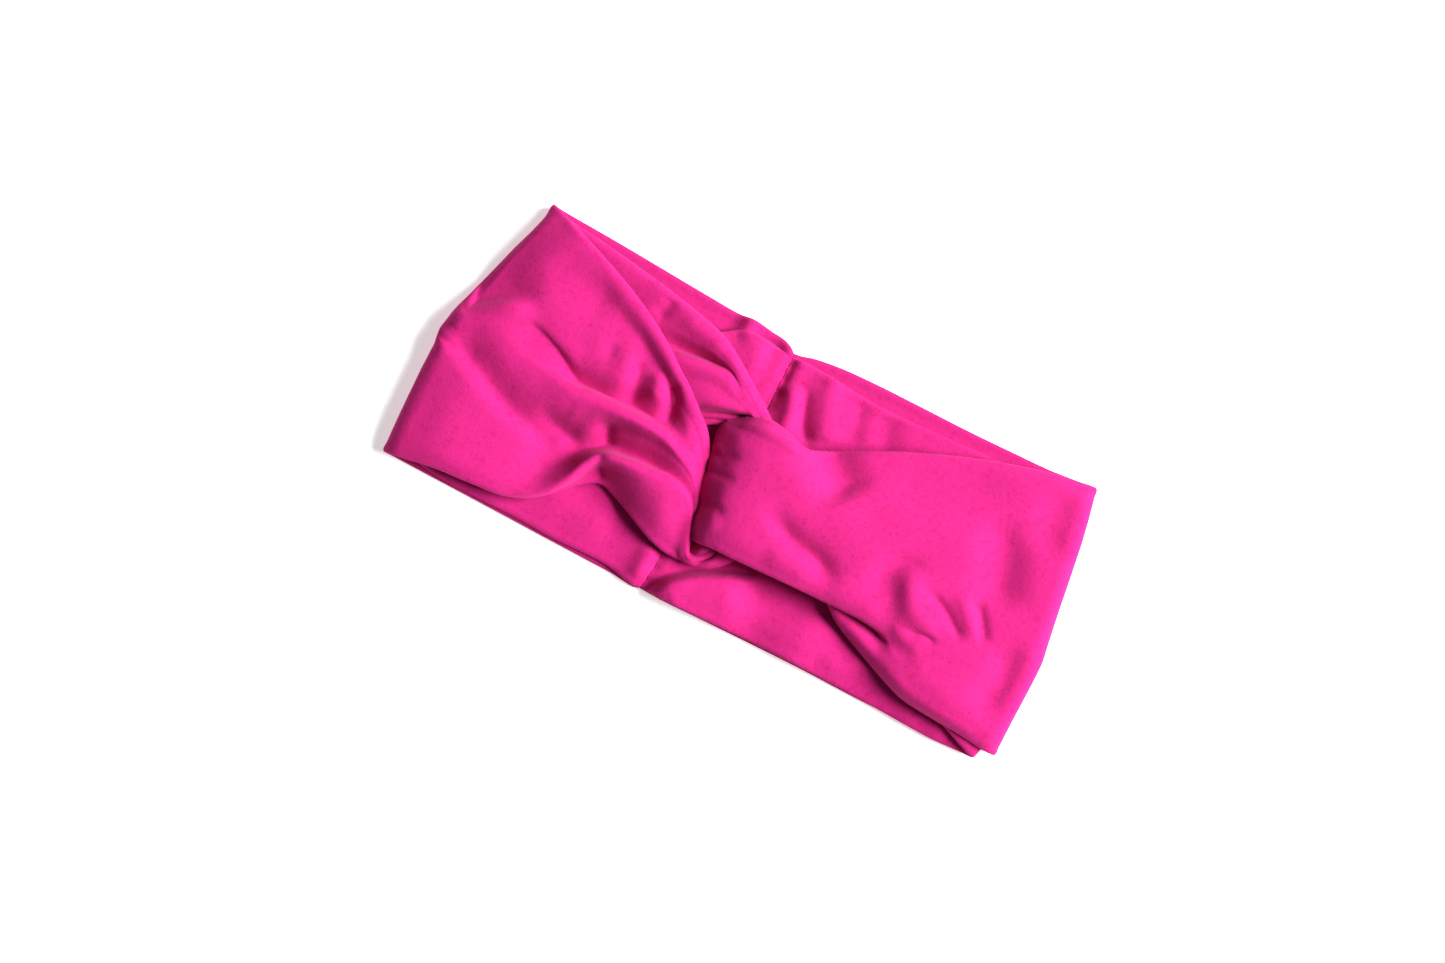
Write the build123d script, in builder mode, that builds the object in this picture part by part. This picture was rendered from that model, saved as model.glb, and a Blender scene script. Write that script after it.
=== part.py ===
"""A wide twist headband of soft knitted fabric, laid flat on a table.

Two flat sewn tubes of fabric, a left one and a right one, are each doubled round the other at the
front and hook together in a knot. The two legs of each tube go one inside the other round their
end of the flattened band, and all four tube ends meet in one seam at the back.

Frame: millimetres, +X along the band to the right, +Y across it to its upper edge, +Z up from the
table. The origin is on the table under the middle of the band.
"""

import os

from build123d import *

# ---- driving dimensions ---------------------------------------------------------------------
TUBE = 1.2  # a flat tube: two layers of fabric
GAP = 0.3  # air between two tubes that lie on each other
ALLOWANCE_GAP = 1.3  # room for the turned-in seam allowance between the tubes at the back
OPENING = 5.4  # height of the flattened head opening

LOWER_Y, MIDDLE_Y, UPPER_Y = -56.5, -6.0, 56.5  # lower edge, widest place, upper edge
LEFT_END = {LOWER_Y: -126.0, MIDDLE_Y: -127.7, UPPER_Y: -112.0}
RIGHT_END = {LOWER_Y: 127.7, MIDDLE_Y: 126.7, UPPER_Y: 116.0}
SEAM_LOWER_X, SEAM_UPPER_X = -18.0, -6.2  # the back seam slants a little
SEAM_HALF_GAP = 0.5  # from the back seam's middle to a tube's end

LEFT_LEVEL_TO, RIGHT_LEVEL_TO = -104.0, 108.0  # from here the front panels rise to the knot
RIGHT_DIP = 45.0  # from here the right tube's inner leg drops under the knot
LEG_END_X = -6.0  # where the left tube's legs meet its bend
BEND_MOUTH_X = 16.0  # where the right tube's legs meet its bend
KNOT_TOP, BEND_WALL = 19.0, 3.4  # the right tube where it turns over, gathered
FLOOR_WALL = 2.4  # the same tube, pressed flatter where it comes back underneath
NOSE = {-29.5: -11.0, 18.5: -17.5}  # lower and upper end of the turn, and its furthest left
ROPE_WIDTH, ROPE_HEIGHT = 9.0, 7.4  # the gathered left tube inside the turn
ROPE_TURN = 16.0  # radius of its path

THREAD = 0.2
STITCH_PITCH = 2.5
ALLOWANCE_WIDTH = 8.0

# ---- levels that follow from them -----------------------------------------------------------
OUTER_TOP = 4 * TUBE + GAP + ALLOWANCE_GAP + OPENING
INNER_FLOOR = TUBE + ALLOWANCE_GAP
INNER_TOP = OUTER_TOP - TUBE - GAP
SPLIT_LEVEL = INNER_FLOOR + TUBE + OPENING / 2  # between the back panels and the front ones
INNER_STEP = TUBE + GAP + 0.4  # the inner fold stands this far inside the outer one
KNOT_FLOOR = INNER_FLOOR + TUBE + 0.4
ROPE_LEVEL = (KNOT_FLOOR + FLOOR_WALL + KNOT_TOP - BEND_WALL) / 2
KNOT_LOWER_Y, KNOT_UPPER_Y = NOSE

OPEN_WIDE = 300.0  # wider and longer than the band


def seam_x(y):
    """Where the back seam crosses y."""
    share = (y - LOWER_Y) / (UPPER_Y - LOWER_Y)
    return SEAM_LOWER_X + share * (SEAM_UPPER_X - SEAM_LOWER_X)


def side_of(ends):
    """-1 for the band's left end and 1 for its right end."""
    return 1 if ends is RIGHT_END else -1


def leg_section(ends, y, low, high, step, thick, knot, level_to):
    """One leg's section at y, in a plane across the band: back panel, side fold, front panel.

    low and high are the outside of the fold, step its distance inside the band's end. The front
    panel is level from the fold to level_to, and then slopes to knot: (x, underside, top).
    """
    side = side_of(ends)
    radius = (high - low) / 2
    middle = low + radius
    start = seam_x(y) + side * SEAM_HALF_GAP
    nose = ends[y] - side * step
    bend = nose - side * radius
    x_knot, knot_low, knot_high = knot
    with BuildSketch(Plane.XZ.offset(-y)) as section:
        with BuildLine():
            Line((start, low + thick), (start, low))
            Line((start, low), (bend, low))
            ThreePointArc((bend, low), (nose, middle), (bend, high))
            Polyline((bend, high), (level_to, high), (x_knot, knot_high), (x_knot, knot_low))
            Polyline((x_knot, knot_low), (level_to, high - thick), (bend, high - thick))
            ThreePointArc((bend, high - thick), (nose - side * thick, middle), (bend, low + thick))
            Line((bend, low + thick), (start, low + thick))
        make_face()
    return section.sketch


def leg(ends, low, high, step, knot, level_to):
    """Lofts a leg over the whole width of the band."""
    stations = (LOWER_Y, MIDDLE_Y, UPPER_Y)
    loft([leg_section(ends, y, low, high, step, TUBE, knot, level_to) for y in stations], ruled=True)


def trim(ends, upper, knot_end, lower, height):
    """Cuts a panel back to its outline: upper and lower edge from the fold inwards, joined by the
    straight pieces of knot_end. height is positive for the front panel, negative for the back."""
    outside = side_of(ends) * OPEN_WIDE / 2
    with BuildSketch(Plane.XY.offset(SPLIT_LEVEL)) as waste:
        Rectangle(2 * OPEN_WIDE, OPEN_WIDE)
        with BuildLine():
            Line((outside, upper[0][1]), upper[0])
            Spline(*upper)
            Polyline(upper[-1], *knot_end, lower[-1])
            Spline(*reversed(lower))
            Line(lower[0], (outside, lower[0][1]))
            Line((outside, lower[0][1]), (outside, upper[0][1]))
        make_face(mode=Mode.SUBTRACT)
    extrude(waste.sketch, amount=height, mode=Mode.SUBTRACT)


def closing_seam(ends, low, high, step, knot, level_to):
    """The chain of thread that closes a tube, along the middle of a leg, short of the back seam."""
    section = leg_section(ends, MIDDLE_Y, low, high, step, THREAD, knot, level_to)
    extrude(section, amount=THREAD, both=True)
    with Locations((seam_x(MIDDLE_Y), MIDDLE_Y, low)):
        Box(2 * ALLOWANCE_WIDTH + 2, 4 * THREAD, 4 * THREAD, mode=Mode.SUBTRACT)


def save(part, name):
    """Names a part and writes it as one STEP file."""
    part.label = name
    export_step(part, f"parts/{name}.step")
    print(f"{name}: {part.volume:.0f} mm3, {len(part.solids())} solid(s)")


os.makedirs("parts", exist_ok=True)

# ---- the left tube --------------------------------------------------------------------------
# Outer leg: the wide front panel that gathers to the lower side of the knot.
LEFT_OUTER_KNOT = (LEG_END_X, 12.6, 16.4)
with BuildPart() as left_outer_leg:
    leg(LEFT_END, 0, OUTER_TOP, 0, LEFT_OUTER_KNOT, LEFT_LEVEL_TO)
    trim(
        LEFT_END,
        upper=[(-112, 56.5), (-90, 48), (-70, 39.5), (-50, 28.5), (-32, 15), (-19, -1)],
        knot_end=[(-12.6, -30.4), (LEG_END_X, -30.7)],
        lower=[(-126, -54), (-90, -50), (-70, -44.5), (-48, -31), (-27, -37), (LEG_END_X, -39.7)],
        height=OPEN_WIDE,
    )
    trim(
        LEFT_END,
        upper=[(-112, 56.5), (-80, 54.5), (-40, 52.2), (-20, 51.5), (-6, 48.3)],
        knot_end=[(0, 48.3), (0, -56.5)],
        lower=[(-126, -54), (-80, -55.2), (-40, -56), (-10, -56.5)],
        height=-OPEN_WIDE,
    )

# Inner leg: the panel behind it that gathers to the upper side of the knot.
LEFT_INNER_KNOT = (LEG_END_X, INNER_TOP - TUBE, 12.2)
with BuildPart() as left_inner_leg:
    leg(LEFT_END, INNER_FLOOR, INNER_TOP, INNER_STEP, LEFT_INNER_KNOT, LEFT_LEVEL_TO)
    trim(
        LEFT_END,
        upper=[(-110, 55.5), (-90, 52.5), (-60, 48), (-35, 41), (-20, 34), (LEG_END_X, 25)],
        knot_end=[(LEG_END_X, 20.4)],
        lower=[(-124, -52), (-95, -30), (-62, 0), (-40, 12), (-20, 20)],
        height=OPEN_WIDE,
    )
    trim(
        LEFT_END,
        upper=[(-110, 55.5), (-90, 52.5), (-60, 49), (-25, 48), (-6, 46.5)],
        knot_end=[(0, 46.5), (0, -55)],
        lower=[(-124, -54), (-80, -54), (-40, -54.5), (-10, -55)],
        height=-OPEN_WIDE,
    )

# Bend: the tube gathered to a rope, which turns back inside the right tube's bend.
with BuildPart() as left_bend:
    with BuildLine() as rope_path:
        lower_run = Line((LEG_END_X, -35.2, ROPE_LEVEL), (-3, -35.2, ROPE_LEVEL))
        lower_turn = JernArc(lower_run @ 1, lower_run % 1, ROPE_TURN, 90)
        across = Line(lower_turn @ 1, lower_turn @ 1 + Vector(0, 25.8, 0))
        upper_turn = JernArc(across @ 1, across % 1, ROPE_TURN, 90)
        Line(upper_turn @ 1, upper_turn @ 1 + Vector(LEG_END_X + 3, 0, 0))
    with BuildSketch(Plane(rope_path.line @ 0, z_dir=rope_path.line % 0)):
        Ellipse(ROPE_WIDTH / 2, ROPE_HEIGHT / 2)
    sweep()

# ---- the right tube -------------------------------------------------------------------------
# Outer leg: the broad front panel that comes over the top of the knot.
RIGHT_OUTER_KNOT = (BEND_MOUTH_X, KNOT_TOP - BEND_WALL, KNOT_TOP)
with BuildPart() as right_outer_leg:
    leg(RIGHT_END, 0, OUTER_TOP, 0, RIGHT_OUTER_KNOT, RIGHT_LEVEL_TO)
    trim(
        RIGHT_END,
        upper=[(116, 55), (90, 50), (60, 40), (40, 31), (26, 23.5), (BEND_MOUTH_X, KNOT_UPPER_Y)],
        knot_end=[],
        lower=[(127, -51), (88, -47.5), (62, -38), (46, -30.5), (30, -29), (BEND_MOUTH_X, KNOT_LOWER_Y)],
        height=OPEN_WIDE,
    )
    trim(
        RIGHT_END,
        upper=[(116, 55), (90, 52.7), (40, 52.2), (10, 51), (-6, 48.3)],
        knot_end=[(-30, 48.3), (-30, -56.5)],
        lower=[(127, -52), (110, -55.7), (70, -55.8), (20, -55.8), (-18, -56.5)],
        height=-OPEN_WIDE,
    )

# Inner leg: the panel under it that comes back from the bend along the bottom of the knot.
RIGHT_INNER_KNOT = (BEND_MOUTH_X, KNOT_FLOOR, KNOT_FLOOR + FLOOR_WALL)
with BuildPart() as right_inner_leg:
    leg(RIGHT_END, INNER_FLOOR, INNER_TOP, INNER_STEP, RIGHT_INNER_KNOT, RIGHT_DIP)
    trim(
        RIGHT_END,
        upper=[(113, 52), (90, 45), (60, 33), (40, 24), (BEND_MOUTH_X, KNOT_UPPER_Y - 2)],
        knot_end=[],
        lower=[(125, -55), (104, -49.5), (75, -39), (45, -28), (BEND_MOUTH_X, KNOT_LOWER_Y + 2)],
        height=OPEN_WIDE,
    )
    trim(
        RIGHT_END,
        upper=[(113, 52), (80, 47.4), (30, 45.3), (10, 46.5), (-6, 46.8)],
        knot_end=[(-30, 46.8), (-30, -55)],
        lower=[(125, -55.5), (100, -55.5), (60, -54.8), (20, -54.8), (-18, -55)],
        height=-OPEN_WIDE,
    )

# Bend: the gathered tube turned over the left one, from the top of the knot to its underside.
with BuildPart() as right_bend:
    outer_turn = (KNOT_TOP - KNOT_FLOOR) / 2
    inner_turn = (KNOT_TOP - KNOT_FLOOR - BEND_WALL - FLOOR_WALL) / 2
    for y, nose in NOSE.items():
        turn_x = nose + outer_turn
        roof, floor = KNOT_TOP - BEND_WALL, KNOT_FLOOR + FLOOR_WALL
        with BuildSketch(Plane.XZ.offset(-y)):
            with BuildLine():
                Line((BEND_MOUTH_X, KNOT_FLOOR), (turn_x, KNOT_FLOOR))
                ThreePointArc(
                    (turn_x, KNOT_FLOOR), (nose, KNOT_FLOOR + outer_turn), (turn_x, KNOT_TOP)
                )
                Polyline((turn_x, KNOT_TOP), (BEND_MOUTH_X, KNOT_TOP), (BEND_MOUTH_X, roof))
                Line((BEND_MOUTH_X, roof), (turn_x, roof))
                ThreePointArc((turn_x, roof), (turn_x - inner_turn, ROPE_LEVEL), (turn_x, floor))
                Polyline((turn_x, floor), (BEND_MOUTH_X, floor), (BEND_MOUTH_X, KNOT_FLOOR))
            make_face()
    loft(ruled=True)

# ---- the seams ------------------------------------------------------------------------------
SEAM_FOOT_Y, SEAM_HEAD_Y = -54.0, 45.5

# The turned-in tube ends, pressed open on both sides of the seam between outer and inner tubes.
with BuildPart() as seam_allowance:
    with BuildSketch(Plane.XY.offset(TUBE + 0.05)):
        for side in (-1, 1):
            near, far = side * 0.1, side * ALLOWANCE_WIDTH
            with BuildLine():
                Polyline(
                    (seam_x(SEAM_FOOT_Y) + near, SEAM_FOOT_Y),
                    (seam_x(SEAM_FOOT_Y) + far, SEAM_FOOT_Y),
                    (seam_x(SEAM_HEAD_Y) + far, SEAM_HEAD_Y),
                    (seam_x(SEAM_HEAD_Y) + near, SEAM_HEAD_Y),
                    close=True,
                )
            make_face()
    extrude(amount=0.7)

# The row of stitches that joins the four tube ends, one bar of thread for each stitch.
with BuildPart() as back_seam_stitches:
    stitch_levels = (TUBE / 2, INNER_FLOOR + TUBE / 2)
    stitch_count = int((SEAM_HEAD_Y - SEAM_FOOT_Y) / STITCH_PITCH)
    for level in stitch_levels:
        for index in range(stitch_count):
            y = SEAM_FOOT_Y + (index + 0.5) * STITCH_PITCH
            with Locations(Plane((seam_x(y), y, level), z_dir=(1, 0, 0))):
                Cylinder(THREAD, 2 * SEAM_HALF_GAP - 0.04)

# Each tube's long closing seam, on the face of its outer leg that the inner leg covers.
CLEAR = 0.03
SEAM_LOW, SEAM_HIGH = TUBE + CLEAR, OUTER_TOP - TUBE - CLEAR
LEFT_SEAM_KNOT = (-24.0, 11.99, 12.19)
RIGHT_SEAM_KNOT = (BEND_MOUTH_X + 6, 14.7, 14.9)
with BuildPart() as left_closing_seam:
    closing_seam(LEFT_END, SEAM_LOW, SEAM_HIGH, SEAM_LOW, LEFT_SEAM_KNOT, LEFT_LEVEL_TO)
with BuildPart() as right_closing_seam:
    closing_seam(RIGHT_END, SEAM_LOW, SEAM_HIGH, SEAM_LOW, RIGHT_SEAM_KNOT, RIGHT_LEVEL_TO)

PARTS = {
    "left_outer_leg": left_outer_leg,
    "left_inner_leg": left_inner_leg,
    "left_bend": left_bend,
    "right_outer_leg": right_outer_leg,
    "right_inner_leg": right_inner_leg,
    "right_bend": right_bend,
    "seam_allowance": seam_allowance,
    "back_seam_stitches": back_seam_stitches,
    "left_closing_seam": left_closing_seam,
    "right_closing_seam": right_closing_seam,
}
for name, builder in PARTS.items():
    save(builder.part, name)
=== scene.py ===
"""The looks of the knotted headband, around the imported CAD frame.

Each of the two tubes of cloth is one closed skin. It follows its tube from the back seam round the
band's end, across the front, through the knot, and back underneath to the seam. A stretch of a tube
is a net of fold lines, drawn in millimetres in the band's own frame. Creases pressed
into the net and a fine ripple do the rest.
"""

import bpy
import numpy as np
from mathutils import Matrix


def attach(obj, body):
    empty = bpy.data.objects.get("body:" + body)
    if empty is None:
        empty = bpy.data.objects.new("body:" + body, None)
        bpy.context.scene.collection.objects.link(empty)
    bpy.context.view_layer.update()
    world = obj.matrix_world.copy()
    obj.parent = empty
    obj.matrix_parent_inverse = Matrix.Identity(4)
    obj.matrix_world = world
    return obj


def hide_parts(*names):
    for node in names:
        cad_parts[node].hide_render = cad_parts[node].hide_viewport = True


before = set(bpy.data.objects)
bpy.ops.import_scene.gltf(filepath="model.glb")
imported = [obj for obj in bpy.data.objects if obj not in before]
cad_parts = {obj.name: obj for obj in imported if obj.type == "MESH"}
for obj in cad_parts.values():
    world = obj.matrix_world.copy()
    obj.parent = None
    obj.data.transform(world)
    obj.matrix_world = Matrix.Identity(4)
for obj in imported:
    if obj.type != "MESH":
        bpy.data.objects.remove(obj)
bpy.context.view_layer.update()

MM = 0.001  # the fold lines are in millimetres, and Blender's objects in metres

# ---- cloth ----------------------------------------------------------------------------------
THICKNESS = 1.3  # of a flat tube, two layers of brushed jersey
EDGE_RADIUS = 1.1  # how far in from its edge a tube reaches its full thickness
EDGE_PUFF = 0.5  # extra thickness of the roll along an edge
PUFF_AT, PUFF_WIDTH = 1.6, 1.4  # where that roll is, in from the edge, and half its width
GROOVE_DEPTH, GROOVE_WIDTH = 0.35, 1.1  # the closing seam along the covered face of a tube
ROW_STEP = 0.9  # spacing of the rows along a tube
SWING = 1.6  # the steepest a fold line or profile may get, compared with its gentler neighbour
HEADING_ROWS = 4  # how many rows from its end a panel's direction is taken over
FOLD_REACH = 0.75  # share of its two equal pulls that the middle of a bridge gets to
STROKE_SAMPLES, STROKE_TAIL = 40, 3  # points along a crease, and where it ends, in half-widths
EDGE_COLUMNS = (0.0, 0.0012, 0.004, 0.008, 0.013, 0.02)  # shares of the width, crowded at an edge
BODY_COLUMNS = 118  # evenly across the rest of the width
COLUMNS = np.concatenate([
    EDGE_COLUMNS[:-1],
    np.linspace(EDGE_COLUMNS[-1], 1 - EDGE_COLUMNS[-1], BODY_COLUMNS),
    1 - np.array(EDGE_COLUMNS[-2::-1]),
])

# ---- outlines seen from above ----------------------------------------------------------------
LEFT_END = [(-126.2, -54), (-126.8, -38), (-127.3, -20), (-127.2, -9), (-128, -3.5), (-126.6, 4),
            (-123.4, 15), (-120.3, 25), (-117.3, 35), (-114.2, 44), (-112.4, 50), (-111.8, 56.5)]
LEFT_INNER_END = [(-120.5, -54), (-123.5, -44), (-125, -20), (-125.4, -4), (-121, 15), (-115, 35),
                  (-110.5, 50), (-109, 55)]
RIGHT_END = [(127.8, -51), (127.6, -35), (127.8, -20), (127.6, -12), (126, -3), (124.2, 8),
             (122.2, 22), (120.2, 35), (118.4, 44), (117, 50), (116, 55)]
RIGHT_INNER_END = [(120.2, -56), (121.6, -52), (124, -42), (125.4, -20), (123.6, -3), (122, 8),
                   (120, 22), (118, 35), (115.5, 46), (113, 53)]
NOSE = [(-10, -31), (-11.3, -27), (-11.4, -20), (-11.8, -17.5), (-14.4, -14), (-15.8, -9),
        (-15, -5), (-15.9, -2.5), (-17.2, 2), (-18.2, 6), (-18.7, 9), (-18.2, 12), (-17, 14.5),
        (-15, 16.5), (-13, 18), (-9.5, 19.4)]

# ---- back seam ----------------------------------------------------------------------------------
SEAM = np.array([(-18.2, -56.5), (-17.3, -47), (-16, -34), (-12.5, -10), (-8.6, 12), (-6.7, 25),
                 (-7, 36), (-7, 48)])
SEAM_PULL = 30.0  # how far from the seam its curve still bends the cloth
DITCH_WIDTH, DITCH_DEPTH = 2.6, 1.5  # of the valley that the seam pulls into the cloth
PUCKER_PITCH, PUCKER_HEIGHT = 6.1, 0.35  # of the waves along it, whose height is a share of its depth
PUCKER_SHIFT, PUCKER_REACH = 0.1, 4.0  # how far they push the cloth sideways, and how far out
PUCKER_DRIFT = 7.0  # how quickly their pitch varies
GROUND_LEVEL = 0.96  # of the middle of the panels that lie on the floor
GROUND_LIFT = 0.25  # of those panels along the seam
FLAP_LEVEL, FLAP_THICKNESS, FLAP_WIDTH = 2.0, 0.4, 8.0  # the turned-in tube ends beside the seam
FLAP_GAP, FLAP_DROOP = 0.1, 0.1  # between the two at the seam, and towards their raw edges
FLAP_ENDS = (-54.0, 45.5)
STITCH_PITCH, STITCH_RADIUS, STITCH_REACH = 2.5, 0.2, 0.8
STITCH_LEVELS = (0.95, 3.3)  # of the row on the band's outer side, and on its inner side
STITCH_ARCH, STITCH_SLANT = 0.4, 0.25


def spline(values, knots, at):
    """A smooth curve through values at their knots, read off at the places in at.

    Where short and long steps meet, its slope is kept down, so that it doesn't swing past them."""
    values = np.asarray(values, float)
    knots = np.asarray(knots, float)
    span = np.diff(knots)
    shape = (-1,) + (1,) * (values.ndim - 1)
    rise = np.diff(values, axis=0) / span.reshape(shape)
    slope = np.empty_like(values)
    slope[0], slope[-1] = rise[0], rise[-1]
    before, after = span[:-1].reshape(shape), span[1:].reshape(shape)
    slope[1:-1] = (rise[:-1] * after + rise[1:] * before) / (before + after)
    if values.ndim > 1:
        size = np.linalg.norm(rise, axis=-1, keepdims=True)
        steepest = SWING * np.minimum(size[:-1], size[1:])
        steepness = np.linalg.norm(slope[1:-1], axis=-1, keepdims=True)
        slope[1:-1] *= np.minimum(1, steepest / np.maximum(steepness, 1e-9))
    index = np.clip(np.searchsorted(knots, at, side="right") - 1, 0, len(span) - 1)
    part = ((at - knots[index]) / span[index]).reshape(shape)
    width = span[index].reshape(shape)
    return ((2 * part**3 - 3 * part**2 + 1) * values[index]
            + (part**3 - 2 * part**2 + part) * width * slope[index]
            + (3 * part**2 - 2 * part**3) * values[index + 1]
            + (part**3 - part**2) * width * slope[index + 1])


def spacing(points):
    """Cumulative mean distance between neighbours along the first axis, from 0 to its total."""
    steps = np.linalg.norm(np.diff(points, axis=0), axis=-1)
    steps = steps.reshape(len(steps), -1).mean(axis=1)
    return np.concatenate([[0], np.cumsum(np.maximum(steps, 1e-6))])


def panel(*lines):
    """A grid of points, rows along the tube and columns across it, through a net of fold lines.

    Each line runs along the tube and has one point at every station. The first line is the edge
    that the tube's columns start from."""
    net = np.array(lines, float)
    across = spacing(net)
    columns = spline(net, across / across[-1], COLUMNS)
    rows = np.swapaxes(columns, 0, 1)
    along = spacing(rows)
    count = max(2, round(along[-1] / ROW_STEP) + 1)
    return spline(rows, along, np.linspace(0, along[-1], count))


def plain_panel(first_edge, last_edge, levels, rim=0.4):
    """A panel with no folds of its own between its two edges, at one level for each station.

    rim is how far the cloth just inside the edges stands above them."""
    first, last = np.array(first_edge, float), np.array(last_edge, float)
    lines = []
    for share, lift in ((0, -rim), (0.02, 0), (0.25, 0), (0.5, 0), (0.75, 0), (0.98, 0), (1, -rim)):
        line = first + share * (last - first)
        lines.append(np.column_stack([line, np.asarray(levels) + lift]))
    return panel(*lines)


def bridge(rows_from, rows_to, reach_from, reach_to, count):
    """Rows that carry the cloth round a turn, leaving one panel and entering the next.

    reach is how far the pull of each panel goes, as vectors for every column."""
    a, b = rows_from[-1], rows_to[0]
    steps = np.linspace(0, 1, count + 2)[1:-1].reshape(-1, 1, 1)
    return ((1 - steps)**3 * a + 3 * (1 - steps)**2 * steps * (a + reach_from)
            + 3 * (1 - steps) * steps**2 * (b + reach_to) + steps**3 * b)


def pull(row, before, furthest):
    """How far a panel's own direction carries its cloth on into a turn, for every column."""
    heading = row - before
    return heading * ((furthest - row[:, 0]) / FOLD_REACH / heading[:, 0])[:, None]


def side_fold(rows_from, rows_to, end, lean=0.5, count=26):
    """The cloth's turn round an end, whose outline gives its furthest reach.

    lean says where each column crosses the outline, from 0 for the second panel to 1 for the
    first."""
    outline = np.array(end, float)
    last, first = rows_from[-1], rows_to[0]
    level = lean * last[:, 1] + (1 - lean) * first[:, 1]
    furthest = np.interp(level, outline[:, 1], outline[:, 0])
    return bridge(rows_from, rows_to, pull(last, rows_from[-1 - HEADING_ROWS], furthest),
                  pull(first, rows_to[HEADING_ROWS], furthest), count)


def eased(share):
    """A share between 0 and 1, which then leaves 0 and reaches 1 gently."""
    return share * share * (3 - 2 * share)


def meet(rows_from, rows_to, count=30):
    """Shifts the start of a panel across, so that each column lines up with the one it follows."""
    shift = rows_from[-1, :, 1] - rows_to[0, :, 1]
    fade = eased(np.linspace(1, 0, count))
    rows_to[:count, :, 1] += fade[:, None] * shift


def stroke(grid, path, height, width, other_width=None, taper=0.3):
    """Presses a crease (height below 0) or lifts a ridge along a path drawn on a panel.

    width is its half-width, and other_width the half-width to the right of the path's direction.
    It fades in and out over taper, a share of its length, at each end."""
    path = np.array(path, float)
    knots = spacing(path)
    samples = spline(path, knots, np.linspace(0, knots[-1], STROKE_SAMPLES))
    ahead = np.gradient(samples, axis=0)
    ahead /= np.linalg.norm(ahead, axis=1, keepdims=True)
    flat = grid[..., :2].reshape(-1, 2)
    reach = STROKE_TAIL * max(width, other_width or width)
    low, high = samples.min(axis=0) - reach, samples.max(axis=0) + reach
    near = np.flatnonzero(((flat > low) & (flat < high)).all(axis=1))
    offset = flat[near, None, :] - samples[None]
    distance = (offset**2).sum(axis=-1)
    nearest = distance.argmin(axis=1)
    pick = np.arange(len(near))
    away = offset[pick, nearest]
    heading = ahead[nearest]
    right_of = heading[:, 1] * away[:, 0] - heading[:, 0] * away[:, 1] > 0
    half = np.where(right_of, other_width or width, width)
    place = nearest / (len(samples) - 1)
    fade = eased(np.clip(np.minimum(place, 1 - place) / taper, 0, 1))
    lift = height * fade * np.exp(-distance[pick, nearest] / half**2)
    level = grid[..., 2].reshape(-1).copy()
    level[near] += lift
    grid[..., 2] = level.reshape(grid.shape[:2])


def ripple(grid, height, seed, waves=14, longest=26.0, shortest=7.0):
    """Adds the faint unevenness of soft cloth: many small waves in all directions."""
    draw = np.random.default_rng(seed)
    total = np.zeros(grid.shape[:2])
    for _ in range(waves):
        length = draw.uniform(shortest, longest)
        turn = draw.uniform(0, 2 * np.pi)
        phase = draw.uniform(0, 2 * np.pi)
        wave = 2 * np.pi / length * (grid[..., 0] * np.cos(turn) + grid[..., 1] * np.sin(turn))
        total += length / longest * np.sin(wave + phase)
    grid[..., 2] += height * total / np.sqrt(waves)


def soften(grid, rounds):
    """Rounds off the net's corners by averaging each inner point with its neighbours."""
    for _ in range(rounds):
        inner = grid[1:-1, 1:-1]
        around = grid[:-2, 1:-1] + grid[2:, 1:-1] + grid[1:-1, :-2] + grid[1:-1, 2:]
        grid[1:-1, 1:-1] = 0.5 * inner + 0.125 * around


def seam_x(y):
    """Where the back seam crosses y."""
    return spline(SEAM[:, 0], SEAM[:, 1], np.ravel(y)).reshape(np.shape(y))


def join_seam(grid, ditch):
    """Bends a back panel to the seam's curve, and sinks or lifts it there by ditch."""
    y = grid[..., 1]
    straight = np.interp(y, SEAM[[0, -1], 1], SEAM[[0, -1], 0])
    away = grid[..., 0] - straight
    wave = np.sin(2 * np.pi * y / PUCKER_PITCH + np.sin(y / PUCKER_DRIFT))
    near = np.exp(-(away / DITCH_WIDTH)**2)
    grid[..., 0] += (seam_x(y) - straight) * np.exp(-(away / SEAM_PULL)**2)
    grid[..., 0] += PUCKER_SHIFT * wave * np.exp(-(away / PUCKER_REACH)**2)
    grid[..., 2] -= ditch * near * (1 + PUCKER_HEIGHT * (wave - 1) / 2)


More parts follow.
